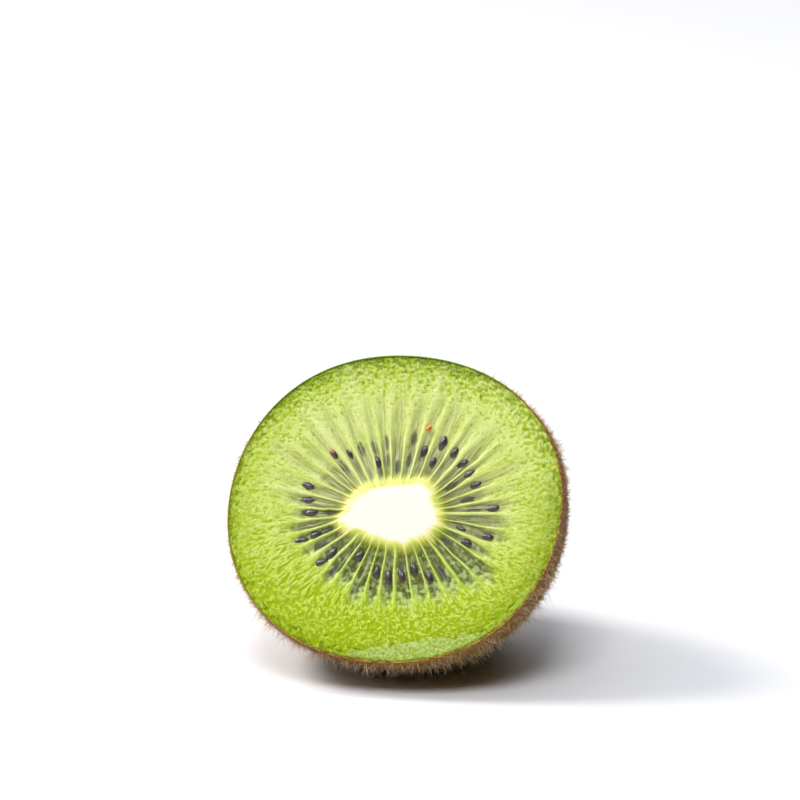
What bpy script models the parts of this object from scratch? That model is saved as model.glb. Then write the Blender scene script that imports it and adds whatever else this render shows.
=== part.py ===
"""A kiwi fruit cut across its middle, at real size: the half with the blossom end.

The half lies on its skin with the cut face leaning back. +Z is up and the cut face looks along -Y.
The origin is the middle of the small flat spot that the half rests on. Lengths are in metres.
"""

import math
import random

import bmesh
import bpy
from mathutils import Matrix, Vector

MM = 0.001

# Cut face: mean radius, and how far its outline is oval and square. Turns are in degrees from +X.
FACE_RADIUS = 24.6 * MM
OVAL_SHARE = 0.043
OVAL_TURN = 12.0
SQUARE_SHARE = 0.0097
SQUARE_TURN = 37.0

# Body behind the cut
HALF_LENGTH = 34.5 * MM
GIRTH_DEPTH = 2.0 * MM
FLANK_POWER = 2.2
LEAN = 27.0
REST_PRESS = 0.75 * MM

# Blossom end: a low round knob in a shallow dimple
KNOB_RADIUS = 5.0 * MM
KNOB_HEIGHT = 1.2 * MM
DIMPLE_RADIUS = 8.5 * MM
DIMPLE_DEPTH = 0.6 * MM

# White core, a little below the cut's middle: a blob with five round corners, each a turn and a radius
CORE_CORNERS = (
    (45, 6.9 * MM),
    (140, 5.6 * MM),
    (195, 8.5 * MM),
    (291, 5.7 * MM),
    (347, 7.8 * MM),
)
CORE_SHARPNESS = 8
CORE_FLATNESS = 0.64
CORE_DROP = 0.6 * MM
CORE_PROUD = 0.3 * MM

# Locules: the seed chambers between the rays, from the core to this share of the way to the rim
LOCULES = 38
LOCULE_END = 0.5
LOCULE_SUNK = 0.35 * MM
FLESH_PROUD = 0.15 * MM
RIM_SUNK = 0.1 * MM
SKIN_THICKNESS = 0.5 * MM

# Seeds: how many show in each locule, turning from +X towards +Z, and how far out they lie
SEED_COUNTS = (
    (1, 0, 1, 1, 1, 1, 2, 1, 0, 0)
    + (0, 1, 0, 1, 1, 0, 0, 1, 1, 1)
    + (0, 2, 0, 2, 0, 1, 0, 1, 1, 1)
    + (1, 1, 0, 0, 0, 1, 2, 0)
)
SEED_NEAR = 0.17
SEED_FAR = 0.36
SEED_FARTHER_AT_SIDES = 0.09
SEED_DRAW = 37101
SEED_LENGTH = 2.3 * MM
SEED_WIDTH = 1.35 * MM
SEED_PROUD = 0.45 * MM
SEED_SIDES = 8
SEED_RINGS = 6

# Mesh steps
SIDES_PER_LOCULE = 4
BODY_SIDES = 76
BODY_RINGS = 14
END_SIDES = 38


def turned_wave(angle, order, share, turn):
    """A share that rises and falls `order` times in a full turn, highest at `turn` degrees."""
    return share * math.cos(order * (angle - math.radians(turn)))


def outline_radius(angle):
    """Radius of the fruit's cross-section at the cut."""
    oval = turned_wave(angle, 2, OVAL_SHARE, OVAL_TURN)
    square = turned_wave(angle, 4, SQUARE_SHARE, SQUARE_TURN)
    return FACE_RADIUS * (1 + oval + square)


def on_circle(angle, radius):
    return Vector((radius * math.cos(angle), radius * math.sin(angle)))


def core_radius(angle):
    """Radius of the core: its straight sides, with the corners between them rounded off."""
    corners = [on_circle(math.radians(turn), radius) for turn, radius in CORE_CORNERS]
    total = 0.0
    for near, far in zip(corners, corners[1:] + corners[:1]):
        outward = Vector((far.y - near.y, near.x - far.x)).normalized()
        reach = on_circle(angle, 1.0).dot(outward) / near.dot(outward)
        total += max(0.0, reach) ** CORE_SHARPNESS
    return total ** (-1 / CORE_SHARPNESS)


def core_point(angle, share=1.0):
    """(x, z) where a ray leaves the core. Rays are spread along the core's wide top and bottom."""
    polar = math.atan2(CORE_FLATNESS * math.sin(angle), math.cos(angle))
    return on_circle(polar, share * core_radius(polar)) - Vector((0.0, CORE_DROP))


def rim_point(angle, inset=0.0):
    """(x, z) on the cut's outline, moved in by `inset`."""
    return on_circle(angle, outline_radius(angle) - inset)


def flesh_point(angle, share):
    """(x, z) at a share of the way along the ray from the core's edge to the skin."""
    return core_point(angle).lerp(rim_point(angle, SKIN_THICKNESS), share)


def smooth_step(low, high, value):
    share = min(1.0, max(0.0, (value - low) / (high - low)))
    return share * share * (3 - 2 * share)


def flesh_depth(angle, share):
    """How far the cut flesh lies behind the cut plane, at a share of the way from core to skin."""
    between_rays = 0.5 - 0.5 * math.cos(LOCULES * angle)
    opening = smooth_step(0.0, 0.15, share) * (1 - smooth_step(0.6, 1.0, share / LOCULE_END))
    crown = smooth_step(0.4, 0.7, share) * (1 - smooth_step(0.8, 1.0, share))
    edge = smooth_step(0.85, 1.0, share)
    return LOCULE_SUNK * between_rays * opening - FLESH_PROUD * crown + RIM_SUNK * edge


def girth_share(depth):
    """Width of the body at this depth behind the cut, as a share of its widest ring."""
    along = abs(depth - GIRTH_DEPTH) / (HALF_LENGTH - GIRTH_DEPTH)
    return math.sqrt(max(0.0, 1 - along**FLANK_POWER))


def end_relief(radius):
    """How far the blossom end's dimple and knob move the end surface outwards."""
    dimple = DIMPLE_DEPTH * (1 - smooth_step(0.45, 1.0, radius / DIMPLE_RADIUS))
    knob = (KNOB_HEIGHT + DIMPLE_DEPTH) * (1 - smooth_step(0.6, 1.05, radius / KNOB_RADIUS))
    return knob - dimple


def body_place(angle, turn):
    """A point of the skin. `turn` runs from the cut's edge to 90 degrees at the blossom end."""
    along = math.copysign(abs(math.sin(turn)) ** (2 / FLANK_POWER), turn)
    depth = GIRTH_DEPTH + (HALF_LENGTH - GIRTH_DEPTH) * along
    radius = outline_radius(angle) * math.cos(turn) / girth_share(0.0)
    depth += end_relief(radius)
    return Vector((radius * math.cos(angle), depth, radius * math.sin(angle)))


def face_place(point, depth):
    return Vector((point.x, depth, point.y))


def ring(bm, sides, place):
    """A closed loop of edges whose vertices go to place(angle)."""
    vertices = bmesh.ops.create_circle(bm, segments=sides, radius=1.0)["verts"]
    edges = {edge for vertex in vertices for edge in vertex.link_edges}
    for vertex in vertices:
        vertex.co = place(math.atan2(vertex.co.y, vertex.co.x))
    return list(edges)


def cap(bm, edges, tip):
    """Closes a ring with a fan of triangles that meet at tip."""
    made = bmesh.ops.contextual_create(bm, geom=edges)
    fan = bmesh.ops.poke(bm, faces=made["faces"])
    fan["verts"][0].co = tip


def face_rings(bm):
    """The cut face's rings, from the core's middle out to the edge of the skin."""
    sides = LOCULES * SIDES_PER_LOCULE
    rings = [
        ring(bm, BODY_SIDES, lambda a: face_place(core_point(a, 0.45), -CORE_PROUD)),
        ring(bm, sides, lambda a: face_place(core_point(a, 0.9), -CORE_PROUD)),
    ]
    for share in (0.0, 0.12, 0.28, 0.42, 0.52, 0.72, 0.92):
        rings.append(
            ring(bm, sides, lambda a, s=share: face_place(flesh_point(a, s), flesh_depth(a, s)))
        )
    rings.append(ring(bm, sides, lambda a: face_place(rim_point(a, SKIN_THICKNESS), RIM_SUNK)))
    rings.append(ring(bm, sides, lambda a: face_place(rim_point(a), 0.0)))
    return rings


def body_rings(bm):
    """The skin's rings, from just behind the cut to the knob."""
    cut_along = GIRTH_DEPTH / (HALF_LENGTH - GIRTH_DEPTH)
    first = -math.asin(cut_along ** (FLANK_POWER / 2))
    last = math.acos(DIMPLE_RADIUS / FACE_RADIUS)
    rings = []
    for step in range(1, BODY_RINGS + 1):
        turn = first + (last - first) * step / BODY_RINGS
        rings.append(ring(bm, BODY_SIDES, lambda a, t=turn: body_place(a, t)))
    for share in (1.4, 1.1, 0.95, 0.8, 0.6, 0.3):
        turn = math.acos(share * KNOB_RADIUS / FACE_RADIUS)
        rings.append(ring(bm, END_SIDES, lambda a, t=turn: body_place(a, t)))
    return rings


def press_flat(bm, down):
    """Cuts the body flat where it would sink REST_PRESS into the floor. Returns the spot's middle."""
    lowest = max(vertex.co.dot(down) for vertex in bm.verts)
    made = bmesh.ops.bisect_plane(
        bm,
        geom=bm.verts[:] + bm.edges[:] + bm.faces[:],
        plane_co=down * (lowest - REST_PRESS),
        plane_no=down,
        clear_outer=True,
    )
    edges = [part for part in made["geom_cut"] if isinstance(part, bmesh.types.BMEdge)]
    flat = bmesh.ops.contextual_create(bm, geom=edges)["faces"][0]
    return flat.calc_center_median()


def surface(name, colour, roughness):
    material = bpy.data.materials.new(name)
    material.use_nodes = True
    shader = material.node_tree.nodes["Principled BSDF"]
    shader.inputs["Base Color"].default_value = (*colour, 1.0)
    shader.inputs["Roughness"].default_value = roughness
    return material


def make_body(lean):
    """The half without its seeds, with its flat spot's middle at the origin."""
    bm = bmesh.new()
    face = face_rings(bm)
    body = body_rings(bm)
    rings = face + body
    for near, far in zip(rings, rings[1:]):
        bmesh.ops.bridge_loops(bm, edges=near + far)
    cap(bm, face[0], face_place(core_point(0.0, 0.0), -CORE_PROUD))
    cap(bm, body[-1], Vector((0.0, HALF_LENGTH + end_relief(0.0), 0.0)))
    bmesh.ops.recalc_face_normals(bm, faces=bm.faces[:])
    middle = press_flat(bm, lean.inverted() @ Vector((0, 0, -1)))
    bmesh.ops.triangulate(bm, faces=bm.faces[:])
    mesh = bpy.data.meshes.new("kiwi_half")
    bm.to_mesh(mesh)
    bm.free()
    half = bpy.data.objects.new("kiwi_half", mesh)
    bpy.context.scene.collection.objects.link(half)
    half.rotation_euler = lean.to_euler()
    half.location = -(lean @ middle)
    return half


def seed_spots():
    """(angle, share) of each seed. Two in one locule lie one behind the other."""
    draw = random.Random(SEED_DRAW)
    spots = []
    for locule, count in enumerate(SEED_COUNTS):
        angle = 2 * math.pi * (locule + 0.5) / LOCULES
        room = (SEED_FAR + SEED_FARTHER_AT_SIDES * math.cos(angle) ** 2 - SEED_NEAR) / max(1, count)
        for place in range(count):
            low = SEED_NEAR + room * place
            spots.append((angle, draw.uniform(low, low + room)))
    return spots


def make_seeds(half):
    """One small ellipsoid for each seed, pointing along its ray and mostly sunk in the flesh."""
    loose = bpy.data.collections.new("seeds")
    bpy.context.scene.collection.children.link(loose)
    stretch = Matrix.Diagonal((SEED_LENGTH / 2, SEED_WIDTH / 2, SEED_WIDTH / 2, 1.0))
    for number, (angle, share) in enumerate(seed_spots()):
        spot = flesh_point(angle, share)
        ray = rim_point(angle) - core_point(angle)
        bm = bmesh.new()
        bmesh.ops.create_uvsphere(bm, u_segments=SEED_SIDES, v_segments=SEED_RINGS, radius=1.0)
        bmesh.ops.rotate(bm, verts=bm.verts[:], matrix=Matrix.Rotation(math.pi / 2, 3, "Y"))
        turn = Matrix.Rotation(-math.atan2(ray.y, ray.x), 4, "Y")
        depth = flesh_depth(angle, share) + SEED_WIDTH / 2 - SEED_PROUD
        place = Matrix.Translation(face_place(spot, depth))
        bmesh.ops.transform(bm, verts=bm.verts[:], matrix=place @ turn @ stretch)
        mesh = bpy.data.meshes.new("seed")
        bm.to_mesh(mesh)
        bm.free()
        seed = bpy.data.objects.new(f"seed_{number:02d}", mesh)
        seed.matrix_world = half.matrix_world
        loose.objects.link(seed)
    return loose


def fuse(half, loose):
    """Joins the seeds to the half, and removes the loose ones."""
    union = half.modifiers.new("seeds", "BOOLEAN")
    union.operation = "UNION"
    union.operand_type = "COLLECTION"
    union.collection = loose
    union.solver = "EXACT"
    graph = bpy.context.evaluated_depsgraph_get()
    joined = bpy.data.meshes.new_from_object(half.evaluated_get(graph))
    half.modifiers.clear()
    half.data = joined
    for seed in list(loose.objects):
        bpy.data.objects.remove(seed)
    bpy.data.collections.remove(loose)


def main():
    for old in list(bpy.data.objects):
        bpy.data.objects.remove(old)
    half = make_body(Matrix.Rotation(-math.radians(LEAN), 3, "X"))
    bpy.context.view_layer.update()
    fuse(half, make_seeds(half))
    half.data.materials.append(surface("kiwi_flesh_and_skin", (0.40, 0.62, 0.10), 0.4))
    half.data.shade_smooth()
    half.data.set_sharp_from_angle(angle=math.radians(35))


main()
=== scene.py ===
"""The kiwi fruit half's looks: wet green flesh, white core, seeds, furry brown skin and the blossom end.

The half's own frame has the cut in the plane y = 0, with x across it, z up it and y into the fruit.
Sizes are in millimetres there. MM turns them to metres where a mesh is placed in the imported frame.
"""

import collections
import itertools
import math
import random

import bmesh
import bpy
import numpy as np
from mathutils import Matrix, Vector


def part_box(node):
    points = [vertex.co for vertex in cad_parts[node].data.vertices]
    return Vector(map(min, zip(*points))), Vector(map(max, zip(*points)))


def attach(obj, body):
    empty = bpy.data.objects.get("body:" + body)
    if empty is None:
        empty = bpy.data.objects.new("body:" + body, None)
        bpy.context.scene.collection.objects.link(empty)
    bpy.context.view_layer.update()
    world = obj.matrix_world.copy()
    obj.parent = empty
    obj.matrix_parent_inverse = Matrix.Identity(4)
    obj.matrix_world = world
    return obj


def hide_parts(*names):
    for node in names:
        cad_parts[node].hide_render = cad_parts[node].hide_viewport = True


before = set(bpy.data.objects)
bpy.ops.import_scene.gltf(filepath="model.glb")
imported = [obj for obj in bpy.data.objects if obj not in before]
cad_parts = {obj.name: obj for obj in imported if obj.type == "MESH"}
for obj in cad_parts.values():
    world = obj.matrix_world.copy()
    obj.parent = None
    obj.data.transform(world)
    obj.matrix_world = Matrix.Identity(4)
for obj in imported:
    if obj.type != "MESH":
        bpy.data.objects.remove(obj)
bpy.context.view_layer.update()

MM = 0.001

# The photograph's view: the cut's middle is at this pixel of an 800 by 800 picture
PICTURE_SIDE = 800
FACE_PIXEL = (394, 508)
PIXELS_PER_MM = 6.66
VIEW_AZIMUTH = 10.0
VIEW_ELEVATION = 16.0
VIEW_DISTANCE = 600.0
SENSOR = 36.0

# The fruit's form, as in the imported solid
FACE_RADIUS = 24.6
OVAL = (2, 0.043, 12.0)
SQUARE = (4, 0.0097, 37.0)
HALF_LENGTH = 34.5
GIRTH_DEPTH = 2.0
FLANK_POWER = 2.2
LEAN = 27.0
KNOB_RADIUS = 5.0
KNOB_HEIGHT = 1.2
DIMPLE_RADIUS = 8.5
DIMPLE_DEPTH = 0.6
CORE_CORNERS = ((45, 6.9), (140, 5.6), (195, 8.5), (291, 5.7), (347, 7.8))
CORE_SHARPNESS = 8
CORE_FLATNESS = 0.64
CORE_DROP = 0.6
CORE_PROUD = 0.3
LOCULES = 38
LOCULE_END = 0.5
LOCULE_SUNK = 0.35
FLESH_PROUD = 0.15
RIM_SUNK = 0.1
SEED_COUNTS = (
    (1, 0, 1, 1, 1, 1, 2, 1, 0, 0)
    + (0, 1, 0, 1, 1, 0, 0, 1, 1, 1)
    + (0, 2, 0, 2, 0, 1, 0, 1, 1, 1)
    + (1, 1, 0, 0, 0, 1, 2, 0)
)
SEED_NEAR = 0.17
SEED_FAR = 0.36
SEED_FARTHER_AT_SIDES = 0.09
SEED_DRAW = 37101
SEED_LENGTH = 2.3
SEED_WIDTH = 1.35
SEED_PROUD = 0.45

# Seeds that lie just below the surface and show grey through the gel
SUNK_COUNTS = (
    (1, 1, 0, 1, 0, 0, 0, 2, 2, 1)
    + (2, 2, 1, 0, 1, 0, 0, 0, 1, 2)
    + (0, 1, 1, 0, 1, 0, 0, 1, 1, 1)
    + (0, 0, 1, 0, 1, 0, 0, 0)
)
SUNK_DRAW = 9
SUNK_NEAR = 0.12
SUNK_FAR = 0.38
RUSTY_SEED_LOCULE = 14

# Juice that has run down to the lowest part of the cut, turned this far from +X
JUICE_TURN = -79.0
JUICE_LEVEL = 20.5
SMEAR_TURN = -50.0

# The skin at the cut
SKIN_THICKNESS = 0.18
SKIN_LIP = 0.05
INNER_SINK = 2.5

# From the core to the skin, on average
FLESH_WIDTH = 17.0

# Widths of the rays and threads at the core, and the sizes of the flesh's patterns
RAY_WIDTH = 0.12
BROAD_RAY_WIDTH = 0.28
THREAD_WIDTH = 0.12
CHAMBER_DRAW = 21
LOBE_SIZE = 0.9
NETWORK_CELL = 0.36
FINE_NETWORK_CELL = 0.28
STREAK_LENGTH = 1.1

# How high each mark of the cut stands. What is sunk has a minus
MARK_HEIGHTS = {
    "gel": -LOCULE_SUNK,
    "line": 0.05,
    "fibre": 0.03,
    "hollow": -0.08,
    "crest": 0.04,
    "juice": 0.03,
    "band": -0.04,
}

# Mesh steps
FACE_SIDES = 760
CORE_RINGS = 12
FACE_RINGS = 112
FLANK_RINGS = 4
SKIN_SIDES = 456
SKIN_RINGS = 110
INNER_RINGS = 8

# No hair grows lower than this above the floor
HAIRLESS_HEIGHT = 0.25

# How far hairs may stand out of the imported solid's box at its low and high ends, along x, y and z
HAIR_PROUD = ((0.72, 0.95, -0.02), (0.72, 0.3, 1.2))


def unit(vectors):
    return vectors / np.linalg.norm(vectors, axis=-1, keepdims=True)


MIXED = np.random.default_rng(7).permutation(256)
SLOPES = unit(np.random.default_rng(8).normal(size=(256, 3)))


def bumps(*axes):
    """Smooth noise of arrays, about -1 to 1, with a bump to each unit of its two or three axes."""
    spot = np.stack(np.broadcast_arrays(*axes), -1)
    low = np.floor(spot).astype(int)
    part = spot - low
    ease = part * part * (3 - 2 * part)
    total = np.zeros(spot.shape[:-1])
    for corner in itertools.product((0, 1), repeat=spot.shape[-1]):
        index = np.zeros(total.shape, dtype=int)
        for axis, side in enumerate(corner):
            index = MIXED[(index + low[..., axis] + side) % 256]
        reach = ((part - corner) * SLOPES[index][..., : len(corner)]).sum(-1)
        total += reach * np.where(corner, ease, 1 - ease).prod(-1)
    return 1.6 * total


def rise(low, high, value):
    """0 below low, 1 above high and a smooth step between."""
    share = np.clip((value - low) / (high - low), 0, 1)
    return share * share * (3 - 2 * share)


def hill(value, width):
    return np.exp(-((value / width) ** 2))


def turned_wave(angle, order, share, turn):
    return share * np.cos(order * (angle - math.radians(turn)))


def outline_radius(angle):
    return FACE_RADIUS * (1 + turned_wave(angle, *OVAL) + turned_wave(angle, *SQUARE))


def on_circle(angle, radius):
    """Places on the cut, as (x, z)."""
    return np.stack((radius * np.cos(angle), radius * np.sin(angle)), -1)


def core_radius(angle):
    corners = [on_circle(math.radians(turn), radius) for turn, radius in CORE_CORNERS]
    total = 0.0
    for near, far in zip(corners, corners[1:] + corners[:1]):
        outward = np.array((far[1] - near[1], near[0] - far[0]))
        reach = on_circle(angle, 1.0) @ outward / (near @ outward)
        total = total + np.maximum(0.0, reach) ** CORE_SHARPNESS
    return total ** (-1 / CORE_SHARPNESS)


def core_point(angle, share=1.0):
    polar = np.arctan2(CORE_FLATNESS * np.sin(angle), np.cos(angle))
    return on_circle(polar, share * core_radius(polar)) - (0.0, CORE_DROP)


def rim_point(angle, inset=0.0):
    return on_circle(angle, outline_radius(angle) - inset)


def flesh_point(angle, share):
    share = np.asarray(share)[..., None]
    return (1 - share) * core_point(angle) + share * rim_point(angle, SKIN_THICKNESS)


def girth_share(depth):
    along = abs(depth - GIRTH_DEPTH) / (HALF_LENGTH - GIRTH_DEPTH)
    return math.sqrt(1 - along**FLANK_POWER)


def end_relief(radius):
    """How far the blossom end's dimple and knob move the end surface outwards."""
    dimple = DIMPLE_DEPTH * (1 - rise(0.45, 1.0, radius / DIMPLE_RADIUS))
    knob = (KNOB_HEIGHT + DIMPLE_DEPTH) * (1 - rise(0.6, 1.05, radius / KNOB_RADIUS))
    return knob - dimple


CUT_TURN = -math.asin((GIRTH_DEPTH / (HALF_LENGTH - GIRTH_DEPTH)) ** (FLANK_POWER / 2))


def flank_place(angle, turn, inset):
    """Places on the flank, `inset` inside the skin. `turn` runs from CUT_TURN to 90 degrees."""
    along = np.copysign(np.abs(np.sin(turn)) ** (2 / FLANK_POWER), turn)
    radius = outline_radius(angle) * np.cos(turn) / girth_share(0.0)
    depth = GIRTH_DEPTH + (HALF_LENGTH - GIRTH_DEPTH) * along + end_relief(radius)
    depth = depth - inset * np.sin(np.maximum(0.0, turn))
    radius = radius - inset * np.cos(turn)
    return np.stack((radius * np.cos(angle), depth, radius * np.sin(angle)), -1)


def packed_place():
    """Turns the half's own frame, in millimetres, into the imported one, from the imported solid's reach."""
    lean = Matrix.Rotation(-math.radians(LEAN), 4, "X")
    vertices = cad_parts["kiwi_half"].data.vertices
    high = np.max([lean.inverted() @ vertex.co for vertex in vertices], axis=0) / MM
    rim = rim_point(np.linspace(-math.pi, math.pi, 720))
    offset = high - (rim[:, 0].max(), HALF_LENGTH + KNOB_HEIGHT, rim[:, 1].max())
    return Matrix.Scale(MM, 4) @ lean @ Matrix.Translation(offset)


PLACE = packed_place()


def packed(places):
    """Places of the half's own frame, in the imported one."""
    matrix = np.array(PLACE)
    return places @ matrix[:3, :3].T + matrix[:3, 3]


def seed_spots(counts, draw_seed, near, far):
    """(locule, angle, share) of each seed. Two in one locule lie one behind the other."""
    draw = random.Random(draw_seed)
    spots = []
    for locule, count in enumerate(counts):
        angle = 2 * math.pi * (locule + 0.5) / LOCULES
        room = (far + SEED_FARTHER_AT_SIDES * math.cos(angle) ** 2 - near) / max(1, count)
        for place in range(count):
            low = near + room * place
            spots.append((locule, angle, draw.uniform(low, low + room)))
    return spots


def sunk_shade(points):
    """How dark the sunk seeds make these places of the cut, from 0 to 1."""
    dark = np.zeros(len(points))
    ragged = 0.6 * bumps(points[:, 0] / 0.5, 5.0, points[:, 1] / 0.5)
    for _, angle, share in seed_spots(SUNK_COUNTS, SUNK_DRAW, SUNK_NEAR, SUNK_FAR):
        ray = unit(rim_point(angle) - core_point(angle))
        apart = points - flesh_point(angle, share)
        along = apart @ ray / (0.5 * SEED_LENGTH)
        across = apart @ (ray[1], -ray[0]) / (0.34 * SEED_WIDTH)
        dark = np.maximum(dark, 1 - rise(0.4, 1.5, along**2 + across**2 + ragged))
    return dark


class Cut:
    """Places of the cut, each given by its angle and its share of the way from core to skin."""

    def __init__(self, angle, share):
        self.angle, self.share = angle, share
        self.point = flesh_point(angle, share)
        self.x, self.z = self.point.T
        self.east, self.north = np.cos(angle), np.sin(angle)
        self.outward = share * FLESH_WIDTH
        self.to_skin = (1 - share) * FLESH_WIDTH
        self.low = rise(-0.4, 0.9, -self.north)
        self.top = rise(0.4, 0.95, self.north - 0.1 * self.east)
        self.lower_right = rise(0.2, 0.95, 0.5 * self.east - 0.85 * self.north)

    def around(self, cells, *more):
        """Noise with this many cells to a radian round the cut, and free axes beside."""
        turned = self.angle + 0.02 * bumps(9 * self.east, 9 * self.north, self.outward / 2)
        return bumps(cells * np.cos(turned), cells * np.sin(turned), *more)

    def speckle(self, wide, high, *layer):
        """Noise with bumps of this width and height in millimetres, which each layer has its own."""
        return bumps(self.x / wide, *layer, self.z / high)


def chamber_draws():
    """How the rays and the seed chambers differ from one another: LOCULES values for each name."""
    draw = np.random.default_rng(CHAMBER_DRAW)
    return {
        "reach": draw.uniform(0.5, 0.8, LOCULES),
        "bright": draw.uniform(0.25, 1.0, LOCULES),
        "wide": draw.uniform(0.7, 1.5, LOCULES),
        "threaded": (draw.random(LOCULES) * 1.6 - 0.4).clip(0, 0.85),
        "end": draw.uniform(0.84, 1.14, LOCULES),
    }


def chambers_passed(cut):
    """How many seed chambers lie between +X and each place. The rays between them wander."""
    wander = 0.15 * cut.around(7, cut.outward / 9) + 0.25 * cut.around(2.6, 5.0)
    wander = wander + 0.28 * cut.around(8, 3.0) + 0.09 * cut.around(15, cut.outward / 3)
    return LOCULES * cut.angle / (2 * math.pi) + wander


def ray_lines(cut, turns, own):
    """How strongly the pale rays between the chambers show, and the threads inside the chambers."""
    ray = np.rint(turns).astype(int) % LOCULES
    chamber = np.floor(turns).astype(int) % LOCULES
    gap = np.abs(turns - np.rint(turns))
    pitch = 2 * math.pi / LOCULES * np.hypot(cut.x, cut.z)
    wide = own["wide"][ray]
    reach = own["reach"][ray] + 0.2 * cut.top
    thin = hill(gap * pitch, wide * (RAY_WIDTH + 0.13 * rise(0.35, 0.8, cut.share)))
    broad = hill(gap * pitch, wide * (BROAD_RAY_WIDTH + 0.35 * rise(0.2, 0.8, cut.share)))
    line = np.maximum(thin, (0.7 - 0.38 * cut.low) * broad) * own["bright"][ray]
    line = line * (1 - rise(reach - 0.3, reach + 0.1, cut.share))
    thread = hill((0.5 - gap) * pitch, THREAD_WIDTH) * own["threaded"][chamber]
    thread = thread * rise(0.1, 0.25, cut.share) * (1 - rise(reach - 0.35, reach - 0.1, cut.share))
    uneven = 0.85 + 0.5 * cut.around(30, cut.outward / 1.5)
    return np.maximum(line, thread) * rise(-0.02, 0.03, cut.share) * uneven * (1 - 0.28 * cut.lower_right)


def chamber_gel(cut, turns, own):
    """How much gel shows, in the chambers and as a veil above them, and the clouds in the gel."""
    chamber = np.floor(turns).astype(int) % LOCULES
    between = 0.5 - 0.5 * np.cos(2 * math.pi * turns)
    cloud = cut.speckle(LOBE_SIZE, LOBE_SIZE, 2.0) + 0.35 * cut.speckle(LOBE_SIZE / 2, LOBE_SIZE / 2, 3.0)
    lower_left = rise(0.75, 1.0, -0.71 * (cut.east + cut.north))
    own_end = own["end"][chamber] + 0.1 * rise(0.5, 1.0, cut.east) + 0.16 * cut.lower_right
    own_end = LOCULE_END * (own_end - 0.12 * lower_left)
    end = (cut.share + 0.1 * (1 - between) + 0.05 * cloud) / own_end
    fading = 0.62 - 0.12 * cut.top + 0.18 * cut.low
    gel = rise(0.0, 0.1, cut.share) * (1 - rise(fading, 1.15, end)) * rise(0.03, 0.25, between)
    veil = 0.5 * rise(-0.2, 0.6, cut.north) * between * rise(0.2, 0.4, cut.share)
    veil = veil * (1 - rise(0.48, 0.85, cut.share + 0.12 * cut.around(6, 2.0)))
    return np.maximum(gel, veil), cloud + 1.3 * (end - 0.8).clip(-0.6, 0.3)


def outer_network(cut, pale):
    """Hollows and crests of the outer flesh: a network near the rim and streaks further in."""
    warp = 0.5 * cut.around(20, cut.outward)
    network = cut.around(44, cut.outward / NETWORK_CELL + warp)
    network = network + 0.6 * cut.around(62, cut.outward / FINE_NETWORK_CELL + warp)
    streaks = cut.around(56, cut.outward / STREAK_LENGTH)
    streaks = streaks + 0.5 * cut.around(80, cut.outward / (STREAK_LENGTH / 2))
    sideways = rise(0.45, 1.0, np.abs(cut.east))
    rimward = rise(0.45, 0.8, cut.share - 0.3 * sideways + 0.12 * cut.around(5, cut.outward / 4))
    network = streaks + (network - streaks) * rimward
    hollow = rise(-0.1, 0.2, -network + 0.1 - 0.68 * pale)
    pits = cut.speckle(0.62, 0.5, 4.0) + 0.5 * rise(0.5, 0.95, cut.share) - 0.2
    hollow = np.maximum(hollow, 0.95 * rise(0.25, 0.45, pits) * pale)
    # The crests also get a painted highlight in the flesh's colour.
    crest = 0.8 * hill(network - 0.25, 0.14) * (1 - 0.7 * pale)
    outer = rise(0.3, 0.62, cut.share + 0.05 * cut.around(12, 2.0))
    return hollow * outer, crest * outer


def juice_film(cut):
    """Juice on the lowest part of the cut and up its lower right rim, its dark shore, and the dark
    specks that show through it."""
    edge = 0.6 * cut.speckle(1.9, 1.7) + 0.7 * cut.speckle(0.75, 0.6)
    level = cut.point @ on_circle(math.radians(JUICE_TURN), 1.0) - JUICE_LEVEL + edge
    smear = rise(0.8, 0.93, np.cos(cut.angle - math.radians(SMEAR_TURN)))
    smear = smear * (1 - rise(0.2, 0.8, cut.to_skin + 1.1 * edge)) * rise(0.1, 0.3, cut.to_skin)
    juice = np.maximum(rise(-0.12, 0.12, level) * rise(0.1, 0.35, cut.to_skin), 0.75 * smear)
    at_rim = juice * hill(cut.to_skin - 0.2, 0.25) * rise(-0.2, 0.2, cut.speckle(1.5, 1.5, 9.0))
    shore = hill(level + 0.14, 0.19) * rise(-0.4, 0.1, cut.speckle(1.2, 1.2, 8.0)) + at_rim
    specks = 0.7 * rise(0.42, 0.55, bumps(cut.x / 0.6 + 9, cut.z / 0.4)) * rise(0.4, 1.0, cut.to_skin)
    return juice, 0.85 * shore.clip(0, 1), juice * specks


def rim_band(cut, juice):
    """The ragged dark green band inside the skin, which is widest at the top and has arcs there."""
    ragged = 0.55 * cut.around(30, cut.to_skin / 0.45) + 0.4 * cut.speckle(0.4, 0.4, 6.0)
    band = rise(-0.2, 0.5, 2.6 * ragged + 0.5 - cut.to_skin / (1.6 + 1.3 * cut.top))
    arcs = rise(0.0, 0.25, cut.around(20, cut.to_skin / 0.36 + 1.5 * cut.around(4, 3.0)))
    arcs = arcs * cut.top * (1 - rise(1.0, 1.8, cut.to_skin))
    return np.maximum((0.85 + 0.1 * cut.top) * band * (1 - 0.7 * juice), arcs)


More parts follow.
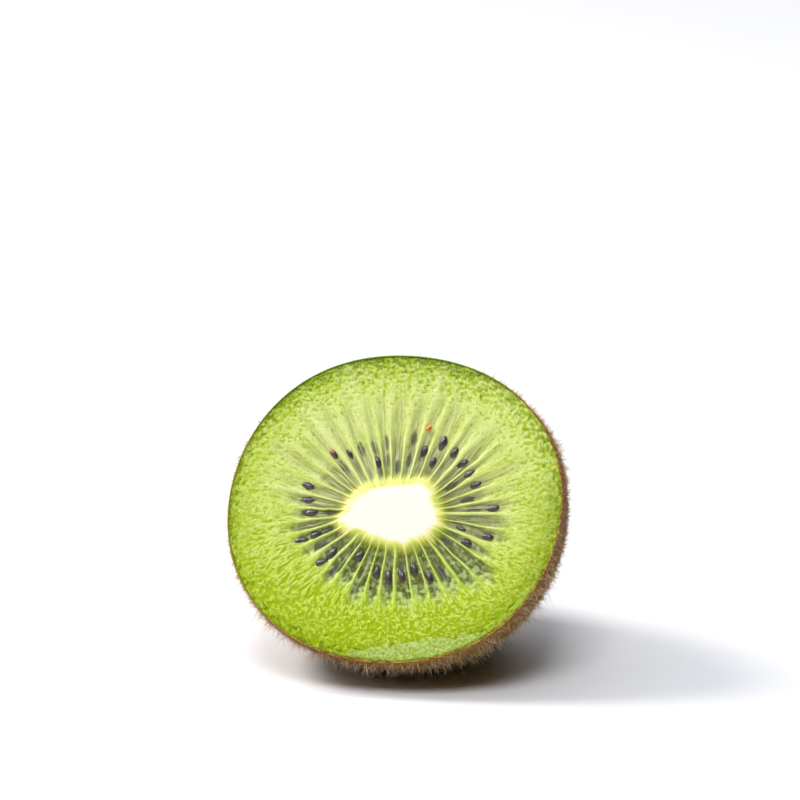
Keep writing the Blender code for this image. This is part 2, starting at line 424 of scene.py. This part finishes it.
def face_marks(angle, share):
    """What the flesh's form and colours need to know about places of the cut, as arrays by name."""
    cut = Cut(angle, share)
    turns = chambers_passed(cut)
    own = chamber_draws()
    gel, cloud = chamber_gel(cut, turns, own)
    height = (0.95 * cut.z + 0.2 * np.abs(cut.x)) / FACE_RADIUS
    pale = rise(-0.8, 0.75, height + 0.15 * cut.speckle(4, 4))
    hollow, crest = outer_network(cut, pale)
    juice, shore, specks = juice_film(cut)
    upper_right = rise(0.8, 1.0, 0.78 * cut.east + 0.62 * cut.north)
    return {
        "line": ray_lines(cut, turns, own),
        "gel": gel,
        "lobe": cut.low * rise(-0.05, 0.35, cloud),
        "shade": cut.low * hill(cloud + 0.12, 0.18),
        "fibre": cut.around(52, cut.outward / 2.6) * (1 - rise(0.55, 0.75, share)),
        "hollow": np.maximum(hollow * (1 - juice), specks),
        "crest": crest * (1 - juice),
        "pale": pale,
        "deepening": rise(0.7 - 0.12 * cut.low, 1.0, share) * (0.7 - 0.55 * upper_right),
        "juice": juice,
        "band": np.maximum(rim_band(cut, juice), shore),
        "sunk": sunk_shade(cut.point) * rise(0.02, 0.1, share),
        "low": cut.low,
        "along": share,
        "east": cut.east,
        "north": cut.north,
    }


def cut_depth(marks):
    """How far the cut surface lies behind the plane of the cut."""
    share = marks["along"]
    crown = rise(0.4, 0.7, share) * (1 - rise(0.8, 1.0, share))
    raised = FLESH_PROUD * crown - RIM_SUNK * rise(0.85, 1.0, share)
    return -raised - sum(height * marks[name] for name, height in MARK_HEIGHTS.items())


def wound_form(name, steps, sides, place):
    """A closed form. A grid is wound round, and place(angle, step) gives each vertex its place and
    its marks. Its first and last rows each end in one point, which closes the form."""
    bm = bmesh.new()
    bmesh.ops.create_grid(bm, x_segments=sides, y_segments=steps, size=0.5)
    sheet = np.array([vertex.co[:2] for vertex in bm.verts]) + 0.5
    places, marks = place(2 * math.pi * sheet[:, 0], np.rint(sheet[:, 1] * steps))
    places = packed(places)
    places[:, 2] = places[:, 2].clip(0)
    layers = [bm.verts.layers.float.new(mark) for mark in marks]
    found = np.stack(list(marks.values()), -1).tolist()
    for vertex, spot, values in zip(bm.verts, places.tolist(), found):
        vertex.co = spot
        for layer, value in zip(layers, values):
            vertex[layer] = value
    bmesh.ops.remove_doubles(bm, verts=bm.verts[:], dist=1e-7)
    bmesh.ops.recalc_face_normals(bm, faces=bm.faces[:])
    return finished(bm, name)


def finished(bm, name):
    mesh = bpy.data.meshes.new(name)
    bm.to_mesh(mesh)
    bm.free()
    return shown(mesh)


def shown(mesh):
    mesh.shade_smooth()
    piece = bpy.data.objects.new(mesh.name, mesh)
    bpy.context.scene.collection.objects.link(piece)
    return piece


def flesh_place(angle, step):
    """The core, then the cut flesh out to the skin, then the flank under the skin to its end."""
    share = (step - CORE_RINGS) / FACE_RINGS
    inner = np.minimum(1.0, step / CORE_RINGS)
    marks = face_marks(angle, share.clip(0, 1))
    depth = cut_depth(marks)
    core = 1 - rise(0.0, 0.08, share)
    depth = depth * (1 - core) - CORE_PROUD * core * (1 - 0.3 * inner**6)
    spot = np.where((share < 0)[:, None], core_point(angle, inner), flesh_point(angle, share.clip(0, 1)))
    places = np.stack((spot[:, 0], depth, spot[:, 1]), -1)
    turn = CUT_TURN + (math.pi / 2 - CUT_TURN) * ((share - 1) * FACE_RINGS / FLANK_RINGS).clip(0, 1)
    flank = flank_place(angle, turn, SKIN_THICKNESS + 0.02 + INNER_SINK * (share > 1))
    places = np.where((share > 1)[:, None], flank, places)
    marks["along"] = np.where(share < 0, inner - 1, share.clip(0, 1))
    return places, marks


def make_flesh():
    return wound_form("cut_flesh", CORE_RINGS + FACE_RINGS + FLANK_RINGS, FACE_SIDES, flesh_place)


def skin_place(angle, step):
    """The outer skin from the blossom end to the cut, then its inner side back again."""
    span = math.pi / 2 - CUT_TURN
    outer = step <= SKIN_RINGS
    back = ((step - SKIN_RINGS - 2) / (INNER_RINGS - 2)).clip(0, 1)
    turn = np.where(outer, math.pi / 2 - span * step / SKIN_RINGS, CUT_TURN + span * back)
    places = flank_place(angle, turn, np.where(outer, 0.0, SKIN_THICKNESS + INNER_SINK * back))
    radius = np.hypot(places[:, 0], places[:, 2])
    x, y, z = places.T
    end = 1 - rise(0.5, 1.5, radius / KNOB_RADIUS)
    crease = bumps(9 * np.cos(angle), 9 * np.sin(angle), radius / 3)
    wrinkle = 0.07 * bumps(x / 1.1, y / 1.1, z / 1.1) + 0.04 * bumps(x / 0.4, y / 0.4, z / 0.4)
    wrinkle = wrinkle + 0.3 * end * crease * rise(0.1, 0.6, radius / KNOB_RADIUS)
    cut = rise(SKIN_RINGS - 1.5, SKIN_RINGS, step) * (step <= SKIN_RINGS + 2)
    places = places + unit(places) * (wrinkle * outer * (1 - cut))[:, None]
    lip = rim_point(angle, 0.5 * SKIN_THICKNESS)
    lip = np.stack((lip[:, 0], np.full(len(lip), -SKIN_LIP), lip[:, 1]), -1)
    places = np.where((step == SKIN_RINGS + 1)[:, None], lip, places)
    high = rise(0.45, 0.9, np.sin(angle) - 0.25 * np.cos(angle))
    rusty = rise(-0.5, 0.4, 0.75 * np.cos(angle) - 0.6 * np.sin(angle))
    return places, {"end": end, "cut": cut, "high": high, "rusty": rusty}


def make_skin():
    return wound_form("skin", SKIN_RINGS + INNER_RINGS, SKIN_SIDES, skin_place)


def make_seeds():
    """Flat drops with their narrow end towards the core, half sunk, each a little different."""
    draw = random.Random(4)
    bm = bmesh.new()
    rust = bm.verts.layers.float.new("rust")
    for locule, angle, share in seed_spots(SEED_COUNTS, SEED_DRAW, SEED_NEAR, SEED_FAR):
        made = bmesh.ops.create_uvsphere(bm, u_segments=20, v_segments=14, radius=1.0)
        vertices = made["verts"]
        bmesh.ops.rotate(bm, verts=vertices, matrix=Matrix.Rotation(math.pi / 2, 3, "Y"))
        uneven = bumps(*(np.array([vertex.co for vertex in vertices]).T * 1.3 + 5 * len(bm.verts)))
        for vertex, bump in zip(vertices, uneven):
            narrow = 1 - 0.24 * (0.5 - 0.5 * vertex.co.x) ** 1.5
            vertex[rust] = float(locule == RUSTY_SEED_LOCULE) * float(rise(-0.1, 0.3, vertex.co.x))
            vertex.co = vertex.co * (1 + 0.16 * bump)
            vertex.co.y *= narrow
            vertex.co.z *= narrow
        spot = flesh_point(angle, share)
        ray = rim_point(angle) - core_point(angle)
        turn = -math.atan2(ray[1], ray[0]) + math.radians(draw.uniform(-11, 11))
        marks = face_marks(np.array([angle]), np.array([share]))
        depth = cut_depth(marks)[0] + 0.5 * SEED_WIDTH - SEED_PROUD + draw.uniform(-0.06, 0.16)
        length = 0.5 * SEED_LENGTH * draw.uniform(0.9, 1.06)
        width = 0.5 * SEED_WIDTH * draw.uniform(0.78, 1.04)
        steps = (
            Matrix.Diagonal((length, 0.5 * SEED_WIDTH, width, 1.0)),
            Matrix.Rotation(math.radians(draw.uniform(-8, 8)), 4, "Z"),
            Matrix.Rotation(turn, 4, "Y"),
            Matrix.Translation((spot[0], depth, spot[1])),
            PLACE,
        )
        for matrix in steps:
            bmesh.ops.transform(bm, matrix=matrix, verts=vertices)
    bmesh.ops.recalc_face_normals(bm, faces=bm.faces[:])
    return finished(bm, "seeds")


CRUMB_SPOT = (4.2, 12.4)


def make_crumb():
    """A crumb of orange skin that the knife left on the flesh."""
    bm = bmesh.new()
    for across, up, size in ((0.0, 0.0, 0.34), (0.3, 0.25, 0.25), (0.12, -0.38, 0.22)):
        made = bmesh.ops.create_icosphere(bm, subdivisions=4, radius=size)
        uneven = bumps(*(np.array([vertex.co for vertex in made["verts"]]).T * 5 + 3 * size))
        for vertex, bump in zip(made["verts"], uneven):
            vertex.co *= 1 + 0.6 * bump
            vertex.co += Vector((CRUMB_SPOT[0] + across, -0.1, CRUMB_SPOT[1] + up))
    bmesh.ops.transform(bm, matrix=PLACE, verts=bm.verts[:])
    return finished(bm, "skin_crumb")


def stick_form(segments, tip, cuts):
    """One straight stick of length 1 and base radius 1 along +Z: its corners and its triangles."""
    bm = bmesh.new()
    bmesh.ops.create_cone(bm, cap_ends=True, segments=segments, radius1=1.0, radius2=tip, depth=1.0)
    bmesh.ops.translate(bm, verts=bm.verts[:], vec=(0, 0, 0.5))
    for cut in cuts:
        bmesh.ops.bisect_plane(
            bm, geom=bm.verts[:] + bm.edges[:] + bm.faces[:], plane_co=(0, 0, cut), plane_no=(0, 0, 1)
        )
    bmesh.ops.triangulate(bm, faces=bm.faces[:])
    bm.verts.index_update()
    corners = np.array([vertex.co for vertex in bm.verts])
    triangles = np.array([[vertex.index for vertex in face.verts] for face in bm.faces])
    bm.free()
    return corners, triangles


def bent_sticks(corners, root, towards, bend, long, thick):
    """Places of the corners of many sticks, each with its own root, direction, bend and size."""
    side = unit(np.cross(towards, bend + 1e-9))[:, None]
    other = np.cross(towards[:, None], side)
    along = corners[:, 2][None, :, None]
    places = thick[:, None] * (corners[None, :, :1] * side + corners[None, :, 1:2] * other)
    return root[:, None] + places + long[:, None] * (along * towards[:, None] + along**2 * bend[:, None])


def joined_sticks(name, places, corners, triangles, tones):
    """One mesh of many sticks, with each stick's tone and the way along it as attributes."""
    count = len(places)
    faces = (triangles[None] + np.arange(count)[:, None, None] * len(corners)).reshape(-1, 3)
    mesh = bpy.data.meshes.new(name)
    mesh.vertices.add(count * len(corners))
    mesh.vertices.foreach_set("co", places.reshape(-1))
    mesh.loops.add(len(faces) * 3)
    mesh.loops.foreach_set("vertex_index", faces.reshape(-1))
    mesh.polygons.add(len(faces))
    mesh.polygons.foreach_set("loop_start", np.arange(len(faces)) * 3)
    for mark, values in (("tone", np.repeat(tones, len(corners))), ("tip", np.tile(corners[:, 2], count))):
        mesh.attributes.new(mark, "FLOAT", "POINT").data.foreach_set("value", values)
    mesh.update(calc_edges=True)
    mesh.validate()
    return shown(mesh)


def outer_skin(skin):
    """Middles, normals and areas of the skin's outer faces, in metres."""
    count = len(skin.data.polygons)
    found = {"center": np.empty(count * 3), "normal": np.empty(count * 3), "area": np.empty(count)}
    for name, values in found.items():
        skin.data.polygons.foreach_get(name, values)
    middle, normal = found["center"].reshape(-1, 3), found["normal"].reshape(-1, 3)
    heart = packed(np.array((0.0, 0.35 * HALF_LENGTH, 0.0)))
    outer = ((middle - heart) * normal).sum(1) > 0
    return middle[outer], normal[outer], found["area"][outer]


Hair = collections.namedtuple("Hair", "name count length radius lift curl cuts draw_seed tufts colours")

# Lengths and radii are in millimetres. `lift` is how steeply hairs stand, from 0 flat to 1 upright,
# `curl` how far they bend and `cuts` where, and `tufts` is how many clumps they have to a millimetre.
# The colours are those of the darkest roots, the palest roots and the tips.
# The tips' paleness is partly the hairs' own colour and partly painted light on their lit ends.
HAIRS = (
    Hair("short_fuzz", 46000, 0.5, 0.03, 0.45, 0.0, (), 1, 0.9, ("#5c3c20", "#9a6a34", "#d2a466")),
    Hair("rust_hairs", 11500, 0.9, 0.034, 0.5, 0.3, (0.35, 0.7), 2, 0.6, ("#6a3812", "#a8601e", "#c88c44")),
    Hair("straw_hairs", 9000, 1.6, 0.05, 0.6, 0.35, (0.35, 0.7), 3, 0.5, ("#bc9250", "#dcb878", "#f6e6c0")),
)


def hair_weights(middle, area, tufts):
    """How likely each face of the skin is to bear a hair: more in clumps, fewer just behind the
    cut's top and left, and none where the half touches the floor."""
    own = (middle - np.array(PLACE.translation)) @ np.array(PLACE.inverted().to_3x3()).T
    x, y, z = own.T
    clumps = (0.6 + 1.2 * bumps(*(own.T * tufts))).clip(0.06)
    bare_top = ((z - 8) / 8).clip(0, 1) * (1.3 - y / 4).clip(0, 1)
    bare_left = ((-x - 4) / 8).clip(0, 1) * (1 - y / 2.5).clip(0, 1)
    weight = area * clumps * (1 - bare_top) * (1 - 0.35 * bare_left)
    return weight * (middle[:, 2] > HAIRLESS_HEIGHT * MM)


def grow_hairs(hair, skin):
    """Joined hairs of one kind. They lie towards the blossom end and stay off the floor."""
    draw = np.random.default_rng(hair.draw_seed)
    corners, triangles = stick_form(3, 0.0, hair.cuts)
    middle, normal, area = outer_skin(skin)
    weight = hair_weights(middle, area, hair.tufts)
    picked = draw.choice(len(weight), size=hair.count, p=weight / weight.sum())
    up = normal[picked]
    root = middle[picked] + draw.normal(0, 0.12 * MM, up.shape)
    to_end = np.array((PLACE.to_3x3() @ Vector((0, 1, 0))).normalized())
    lie = 0.35 * to_end + draw.normal(0, 0.7, up.shape)
    lie = unit(lie - (lie * up).sum(1, keepdims=True) * up)
    stand = draw.normal(hair.lift, 0.16, (hair.count, 1)).clip(0.08, 1)
    towards = unit(stand * up + (1 - stand) * lie)
    long = hair.length * MM * draw.normal(1, 0.3, (hair.count, 1)).clip(0.35, 1.7)
    bend = draw.normal(0, hair.curl, up.shape)
    floor_room = (root[:, 2:] - 0.08 * MM) / long
    towards[:, 2:] = np.maximum(towards[:, 2:], -0.7 * floor_room)
    bend[:, 2:] = np.maximum(bend[:, 2:], -0.25 * floor_room)
    thick = hair.radius * MM * draw.uniform(0.7, 1.25, (hair.count, 1))
    places = bent_sticks(corners, root - 0.05 * MM * up, towards, bend, long, thick)
    low, high = np.array(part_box("kiwi_half"))
    before, beyond = np.array(HAIR_PROUD) * MM
    kept = ((places > low - before) & (places < high + beyond)).all(axis=(1, 2))
    return joined_sticks(hair.name, places[kept], corners, triangles, draw.random(kept.sum()))


STYLES = 17


def make_styles():
    """The flower's dried styles: dark crooked rods that spread from the middle of the knob."""
    draw = np.random.default_rng(11)
    corners, triangles = stick_form(7, 0.55, (0.17, 0.33, 0.5, 0.67, 0.83))
    turn = 2 * math.pi * (np.arange(STYLES) + draw.uniform(-0.3, 0.3, STYLES)) / STYLES
    outward = np.stack((np.cos(turn), np.zeros(STYLES), np.sin(turn)), axis=1)
    root = draw.uniform(0.4, 1.3, (STYLES, 1)) * outward
    root[:, 1] = HALF_LENGTH + KNOB_HEIGHT + 0.08
    towards = unit(outward + np.array((0.0, 0.12, 0.0)))
    bend = draw.normal(0, 0.14, (STYLES, 3))
    bend[:, 1] = -0.15 - np.abs(bend[:, 1])
    long = draw.uniform(1.8, 3.3, (STYLES, 1))
    thick = draw.uniform(0.13, 0.2, (STYLES, 1))
    places = bent_sticks(corners, root, towards, bend, long, thick)
    return joined_sticks("dried_styles", packed(places), corners, triangles, draw.random(STYLES))


def linear(colour):
    """An sRGB hex colour as linear red, green, blue and alpha."""
    parts = [int(colour[at : at + 2], 16) / 255 for at in (1, 3, 5)]
    return (*(p / 12.92 if p <= 0.04045 else ((p + 0.055) / 1.055) ** 2.4 for p in parts), 1.0)


def add(tree, kind, settings, inputs):
    """Adds a node with its settings. An input is given a value, or linked if it is an output."""
    node = tree.nodes.new(kind)
    for name, value in settings.items():
        setattr(node, name, value)
    for name, value in inputs.items():
        if isinstance(value, bpy.types.NodeSocket):
            tree.links.new(value, node.inputs[name])
        else:
            node.inputs[name].default_value = value
    return node


def new_material(name):
    """An empty material of this name, its node tree and its Principled shader."""
    material = bpy.data.materials.new(name)
    material.use_nodes = True
    tree = material.node_tree
    return material, tree, tree.nodes["Principled BSDF"]


def noise_of(tree, cell, detail=3.0):
    """Noise in Object coordinates with cells of this many millimetres, as an output from 0 to 1."""
    place = add(tree, "ShaderNodeTexCoord", {}, {}).outputs["Object"]
    inputs = {"Vector": place, "Scale": 1 / (cell * MM), "Detail": detail}
    return add(tree, "ShaderNodeTexNoise", {}, inputs).outputs["Fac"]


def mark_of(tree, name):
    return add(tree, "ShaderNodeAttribute", {"attribute_name": name}, {}).outputs["Fac"]


def fan_noise(tree, cells, span):
    """Noise with this many cells to a radian round the cut, each `span` millimetres long, as an output."""
    east, north = (reckon(tree, "MULTIPLY", mark_of(tree, name), cells) for name in ("east", "north"))
    outward = reckon(tree, "MULTIPLY", mark_of(tree, "along"), FLESH_WIDTH / span)
    place = add(tree, "ShaderNodeCombineXYZ", {}, {"X": east, "Y": north, "Z": outward}).outputs[0]
    inputs = {"Vector": place, "Scale": 1.0, "Detail": 3.0}
    return add(tree, "ShaderNodeTexNoise", {}, inputs).outputs["Fac"]


def blend(tree, share, near, far):
    """A mix of two colours, each an sRGB hex colour or an output."""
    colours = [linear(colour) if isinstance(colour, str) else colour for colour in (near, far)]
    inputs = {0: share, 6: colours[0], 7: colours[1]}
    return add(tree, "ShaderNodeMix", {"data_type": "RGBA"}, inputs).outputs[2]


def ramp(tree, value, low, high, to_low=0.0, to_high=1.0):
    inputs = {"Value": value, "From Min": low, "From Max": high, "To Min": to_low, "To Max": to_high}
    return add(tree, "ShaderNodeMapRange", {"interpolation_type": "SMOOTHSTEP"}, inputs).outputs[0]


def reckon(tree, operation, *values):
    return add(tree, "ShaderNodeMath", {"operation": operation}, dict(enumerate(values))).outputs[0]


def dress(tree, shader, colour, height, strength, depth, settings):
    """Links a colour and a bump `depth` millimetres deep, and sets the shader's other sockets."""
    inputs = {"Strength": strength, "Distance": depth * MM, "Height": height}
    bump = add(tree, "ShaderNodeBump", {}, inputs)
    tree.links.new(colour, shader.inputs["Base Color"])
    tree.links.new(bump.outputs["Normal"], shader.inputs["Normal"])
    for name, value in settings.items():
        shader.inputs[name].default_value = value


def flesh_material():
    """Ripe kiwi flesh, freshly cut with a knife: wet cells that let light in, so it glows at edges,
    with pads of pale lime between deeper green hollows, grey gel round the seeds and a white core.
    The paler lime on the crests and threads is a painted highlight of the wet surface."""
    material, tree, shader = new_material("kiwi_flesh_cut_wet")
    along, pale, low, line = (mark_of(tree, name) for name in ("along", "pale", "low", "line"))
    grain = noise_of(tree, 0.8, 4.0)
    fine = noise_of(tree, 0.25)
    mottle = noise_of(tree, 3.5)
    weave = fan_noise(tree, 60.0, 0.34)
    fibres = fan_noise(tree, 70.0, 2.2)
    thread = reckon(tree, "ABSOLUTE", reckon(tree, "SUBTRACT", weave, 0.47))

    colour = blend(tree, pale, "#b6cd1e", "#d2df7c")
    colour = blend(tree, ramp(tree, mottle, 0.4, 0.7, 0.0, 0.4), colour, "#a8c51c")
    colour = blend(tree, ramp(tree, fibres, 0.45, 0.7, 0.0, 0.5), colour, "#dfea94")
    colour = blend(tree, mark_of(tree, "deepening"), colour, "#8ca600")
    # Painted highlight: paler lime on the raised crests and on the threads, standing for the wet shine.
    painted_highlight = blend(tree, pale, "#d2e04e", "#e4ee9e")
    colour = blend(tree, mark_of(tree, "crest"), colour, painted_highlight)
    colour = blend(tree, ramp(tree, thread, 0.0, 0.05, 0.4, 0.0), colour, painted_highlight)
    pores = reckon(tree, "MULTIPLY", ramp(tree, weave, 0.53, 0.64), ramp(tree, pale, 0.0, 1.0, 0.65, 0.35))
    colour = blend(tree, pores, colour, "#88a400")
    wash = blend(tree, ramp(tree, weave, 0.35, 0.65), "#9cb642", "#c8da84")
    colour = blend(tree, mark_of(tree, "juice"), colour, wash)
    colour = blend(tree, mark_of(tree, "hollow"), colour, blend(tree, pale, "#9cb700", "#aac208"))
    green = blend(tree, ramp(tree, fine, 0.38, 0.62), "#546e00", "#9cb010")
    colour = blend(tree, mark_of(tree, "band"), colour, green)

    gel = blend(tree, ramp(tree, fibres, 0.35, 0.65), "#88884c", "#ced09a")
    dark_gel = blend(tree, ramp(tree, grain, 0.38, 0.62), "#4e5a22", "#9ca66e")
    gel = blend(tree, low, gel, dark_gel)
    gel = blend(tree, ramp(tree, mark_of(tree, "fibre"), -0.5, 0.4, 0.6, 0.0), gel, "#525420")
    gel = blend(tree, mark_of(tree, "lobe"), gel, blend(tree, fine, "#96aa66", "#bac98e"))
    gel = blend(tree, reckon(tree, "MULTIPLY", mark_of(tree, "shade"), 0.75), gel, "#3f5018")
    gel = blend(tree, ramp(tree, along, 0.03, 0.13, 0.85, 0.0), gel, blend(tree, grain, "#888a0c", "#b4b020"))
    colour = blend(tree, reckon(tree, "MULTIPLY", mark_of(tree, "gel"), 0.95), colour, gel)
    colour = blend(tree, reckon(tree, "MULTIPLY", mark_of(tree, "sunk"), 0.8), colour, "#4a4648")
    colour = blend(tree, reckon(tree, "MULTIPLY", line, 0.88), colour, "#e2eaa4")
    left_end = ramp(tree, mark_of(tree, "east"), -0.95, -0.7, -0.05, 0.0)
    fringe = reckon(tree, "MULTIPLY_ADD", fan_noise(tree, 5.0, 60.0), -0.3, along)
    fringe = reckon(tree, "MULTIPLY_ADD", fibres, -0.16, reckon(tree, "ADD", fringe, left_end))
    fringe = reckon(tree, "MULTIPLY_ADD", line, -0.04, fringe)
    colour = blend(tree, ramp(tree, fringe, -0.25, -0.17, 1.0, 0.0), colour, "#f0e654")
    colour = blend(tree, ramp(tree, fringe, -0.38, -0.17, 1.0, 0.0), colour, "#f5f9e8")

    settings = {
        "IOR": 1.36,
        "Specular IOR Level": 0.3,
        "Subsurface Weight": 0.25,
        "Subsurface Radius": (1.0, 1.0, 0.4),
        "Subsurface Scale": 0.25 * MM,
        "Coat Weight": 0.2,
        "Coat Roughness": 0.14,
        "Coat IOR": 1.34,
    }
    outside_core = ramp(tree, along, 0.0, 0.1, 0.05, 0.6)
    relief = blend(tree, 0.5, fine, weave)
    dress(tree, shader, colour, relief, outside_core, 0.12, settings)
    tree.links.new(ramp(tree, mark_of(tree, "juice"), 0.0, 1.0, 0.4, 0.2), shader.inputs["Roughness"])
    return material


def skin_material():
    """Kiwi skin as it grew: a thin corky brown peel, dull and freckled, olive where it is smooth,
    green to rust brown along the cut and darker at the blossom end."""
    material, tree, shader = new_material("kiwi_skin_corky")
    freckle = noise_of(tree, 0.6)
    colour = blend(tree, ramp(tree, noise_of(tree, 11, 5.0), 0.35, 0.65), "#7a5a28", "#8a7a34")
    colour = blend(tree, ramp(tree, freckle, 0.45, 0.65), colour, "#a06a2c")
    colour = blend(tree, ramp(tree, freckle, 0.45, 0.3), colour, "#563a18")
    colour = blend(tree, mark_of(tree, "end"), colour, "#44301e")
    edge = blend(tree, ramp(tree, freckle, 0.4, 0.6), "#7a4a1e", "#b88a3a")
    edge = blend(tree, mark_of(tree, "rusty"), "#a09028", edge)
    edge = blend(tree, mark_of(tree, "high"), edge, "#6f9416")
    colour = blend(tree, mark_of(tree, "cut"), colour, edge)
    dress(tree, shader, colour, freckle, 0.5, 0.12, {"Roughness": 0.72, "IOR": 1.45})
    return material


def hair_material(name, root, middle, tip):
    """Dry plant hair, grown: dull, darker at the root and paler at the tip, each a tone apart.
    The paler tip is partly the hair's own colour and partly painted light on the lit hair ends.
    """
    material, tree, shader = new_material(name)
    colour = blend(tree, mark_of(tree, "tone"), root, middle)
    # The tip colour is partly painted light on the lit hair ends.
    colour = blend(tree, mark_of(tree, "tip"), colour, tip)
    tree.links.new(colour, shader.inputs["Base Color"])
    shader.inputs["Roughness"].default_value = 0.6
    shader.inputs["IOR"].default_value = 1.5
    return material


def seed_material():
    """Kiwi seed coat, grown and wet with juice: near-black purple brown with soft glints, and rust
    red where one seed's coat hasn't darkened."""
    material, tree, shader = new_material("kiwi_seed_coat_wet")
    colour = blend(tree, noise_of(tree, 0.9), "#1a0e14", "#48323c")
    colour = blend(tree, mark_of(tree, "rust"), colour, "#a83a1c")
    settings = {"Roughness": 0.45, "IOR": 1.5, "Coat Weight": 1.0, "Coat Roughness": 0.32}
    dress(tree, shader, colour, noise_of(tree, 0.25), 0.5, 0.05, settings)
    return material


def plain_material(name, low, high, cell, roughness):
    """A plant tissue of two tones, mottled at `cell` millimetres."""
    material, tree, shader = new_material(name)
    tone = noise_of(tree, cell)
    dress(tree, shader, blend(tree, tone, low, high), tone, 0.4, 0.05, {"Roughness": roughness})
    return material


def build_half():
    flesh = make_flesh()
    flesh.data.materials.append(flesh_material())
    skin = make_skin()
    skin.data.materials.append(skin_material())
    seeds = make_seeds()
    seeds.data.materials.append(seed_material())
    crumb = make_crumb()
    crumb.data.materials.append(plain_material("kiwi_peel_crumb", "#c84a14", "#f4c040", 0.3, 0.4))
    styles = make_styles()
    styles.data.materials.append(plain_material("dried_style_stalk", "#1c120c", "#5a3d24", 0.6, 0.8))
    pieces = [flesh, skin, seeds, crumb, styles]
    for hair in HAIRS:
        hairs = grow_hairs(hair, skin)
        hairs.data.materials.append(hair_material("kiwi_" + hair.name, *hair.colours))
        pieces.append(hairs)
    for piece in pieces:
        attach(piece, "root")
    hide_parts("kiwi_half")


def build_floor():
    bm = bmesh.new()
    bmesh.ops.create_grid(bm, x_segments=1, y_segments=1, size=4.0)
    floor = finished(bm, "floor")
    material, _, shader = new_material("matt_white_board")
    shader.inputs["Base Color"].default_value = linear("#e4e4e6")
    shader.inputs["Roughness"].default_value = 0.9
    floor.data.materials.append(material)


def face_middle():
    return PLACE @ Vector((0, 0, 0))


def build_camera():
    azimuth, elevation = math.radians(VIEW_AZIMUTH), math.radians(VIEW_ELEVATION)
    level = math.cos(elevation)
    back = Vector((math.sin(azimuth) * level, -math.cos(azimuth) * level, math.sin(elevation)))
    right = Vector((math.cos(azimuth), math.sin(azimuth), 0))
    up = back.cross(right)
    across = (PICTURE_SIDE / 2 - FACE_PIXEL[0]) / PIXELS_PER_MM * MM
    raised = (FACE_PIXEL[1] - PICTURE_SIDE / 2) / PIXELS_PER_MM * MM
    aim = face_middle() + right * across + up * raised
    camera = bpy.data.objects.new("camera", bpy.data.cameras.new("camera"))
    camera.data.sensor_width = SENSOR
    camera.data.lens = PIXELS_PER_MM * VIEW_DISTANCE / PICTURE_SIDE * SENSOR
    camera.data.clip_start = 0.01
    camera.data.clip_end = 20.0
    camera.matrix_world = Matrix.Translation(aim + back * VIEW_DISTANCE * MM) @ Matrix(
        (right, up, back)
    ).transposed().to_4x4()
    bpy.context.scene.collection.objects.link(camera)
    bpy.context.scene.camera = camera


def add_light(name, place, size, power, colour):
    light = bpy.data.lights.new(name, "AREA")
    light.shape = "RECTANGLE"
    light.size, light.size_y = size
    light.energy = power
    light.color = linear(colour)[:3]
    lamp = bpy.data.objects.new(name, light)
    lamp.location = place
    lamp.rotation_euler = (face_middle() - Vector(place)).to_track_quat("-Z", "Y").to_euler()
    bpy.context.scene.collection.objects.link(lamp)


def build_light():
    """Soft boxes on the left and above, and a white room that is bright above and behind and dark
    in front and on the right, which keeps the shadow under the half dark."""
    add_light("left_softbox", (-0.9, 0.1, 0.9), (0.45, 0.45), 13.4, "#fffaf4")
    add_light("top_softbox", (0.0, -0.55, 1.13), (0.5, 0.5), 8.2, "#ffffff")
    world = bpy.data.worlds.new("white_studio")
    bpy.context.scene.world = world
    world.use_nodes = True
    tree = world.node_tree
    way = add(tree, "ShaderNodeTexCoord", {}, {}).outputs["Generated"]
    bright_side = (-0.45, 0.3, 0.84)
    facing = add(tree, "ShaderNodeVectorMath", {"operation": "DOT_PRODUCT"}, {0: way, 1: bright_side})
    strength = ramp(tree, facing.outputs["Value"], 0.3, 0.97, 0.0, 1.35)
    tree.links.new(strength, tree.nodes["Background"].inputs["Strength"])
    tree.nodes["Background"].inputs["Color"].default_value = linear("#f2f7ff")
    bpy.context.scene.view_settings.view_transform = "Standard"


build_half()
build_floor()
build_camera()
build_light()
